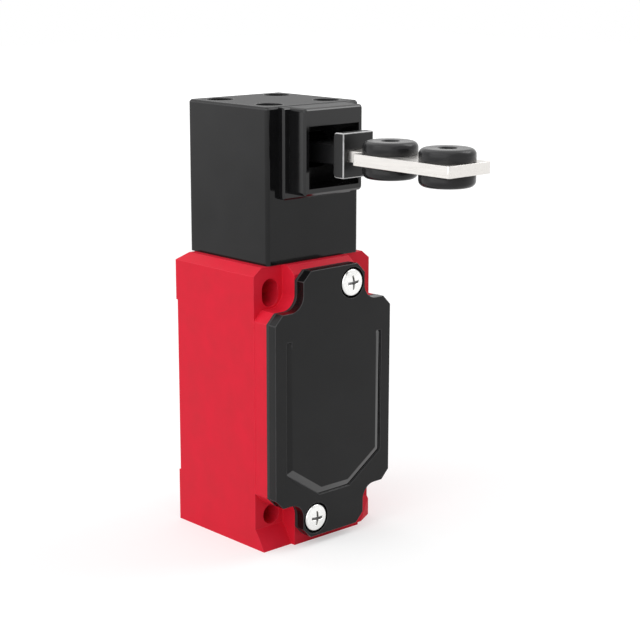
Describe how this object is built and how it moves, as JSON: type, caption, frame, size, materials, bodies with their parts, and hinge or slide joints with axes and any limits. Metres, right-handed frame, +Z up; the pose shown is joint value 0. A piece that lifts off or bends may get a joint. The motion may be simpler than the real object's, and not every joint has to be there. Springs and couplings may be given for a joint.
{
  "type": "tongue interlock switch",
  "caption": "Safety switch with a die-cast body, front cover and a head whose rotor takes a tongue key carried on rubber bushes.",
  "frame": {"origin": "centre of the conduit entry's mouth, on the underside of the body", "axes": "+Z up through the head, -Y out of the cover and along the key, +X to the right seen from the front"},
  "size_m": [0.041, 0.0869, 0.1161],
  "materials": {
    "red_casting": "red powder coat on die casting, fine satin texture",
    "black_moulding": "black glass-filled moulding, glossy",
    "seal_rubber": "dark grey sealing rubber",
    "screw_steel": "bright zinc-plated steel",
    "grey_moulding": "dark grey moulding",
    "rotor_moulding": "hard black moulding, worn smooth",
    "plunger_moulding": "off-white acetal",
    "spring_steel": "spring wire",
    "contact_moulding": "grey insulating moulding",
    "contact_brass": "brass strip",
    "key_steel": "bright stainless sheet, fine grain",
    "bush_rubber": "black moulded rubber, satin"
  },
  "bodies": {
    "switch": {"body_housing": "red_casting", "cover_gasket": "seal_rubber", "front_cover": "black_moulding", "cover_screws": "screw_steel", "head_gasket": "seal_rubber", "head_housing": "black_moulding", "head_screws": "screw_steel", "key_guide": "black_moulding", "rotor_cage": "grey_moulding", "rotor_axle": "screw_steel", "plunger_spring": "spring_steel", "plunger_seal": "seal_rubber", "contact_block": "contact_moulding", "contact_block_screws": "screw_steel", "carrier_spring": "spring_steel", "closing_contacts": "contact_brass", "opening_contacts": "contact_brass", "terminal_clamps": "screw_steel", "terminal_screws": "screw_steel", "earth_clamp": "contact_brass", "earth_screw": "screw_steel"},
    "key": {"key_plate": "key_steel", "key_collar": "black_moulding", "inner_bush": "bush_rubber", "outer_bush": "bush_rubber"},
    "rotor": {"rotor": "rotor_moulding"},
    "plunger": {"plunger": "plunger_moulding"},
    "carrier": {"contact_carrier": "plunger_moulding", "closing_bridge": "contact_brass", "opening_bridge": "contact_brass", "bridge_springs": "spring_steel"}
  },
  "joints": [
    {"name": "key_slide", "type": "slide", "parent": "switch", "child": "key", "axis": [0, 1, 0], "range_m": [-0.0036, 0.008]},
    {"name": "rotor_turn", "type": "hinge", "parent": "switch", "child": "rotor", "pos_m": [0, 0.0013, 0.0964], "axis": [-1, 0, 0], "range_deg": [-22.35, 49.67]},
    {"name": "plunger_slide", "type": "slide", "parent": "switch", "child": "plunger", "axis": [0, 0, 1], "range_m": [-0.00093, 0.00207], "deforming": ["plunger_spring"]},
    {"name": "carrier_slide", "type": "slide", "parent": "switch", "child": "carrier", "axis": [0, 0, 1], "range_m": [-0.00093, 0.00207], "deforming": ["carrier_spring"]}
  ],
  "couplings": [
    {"joint": "rotor_turn", "follows": "key_slide", "rad_per_m": 108.33},
    {"joint": "plunger_slide", "follows": "key_slide", "ratio": 0.25862},
    {"joint": "carrier_slide", "follows": "key_slide", "ratio": 0.25862}
  ]
}
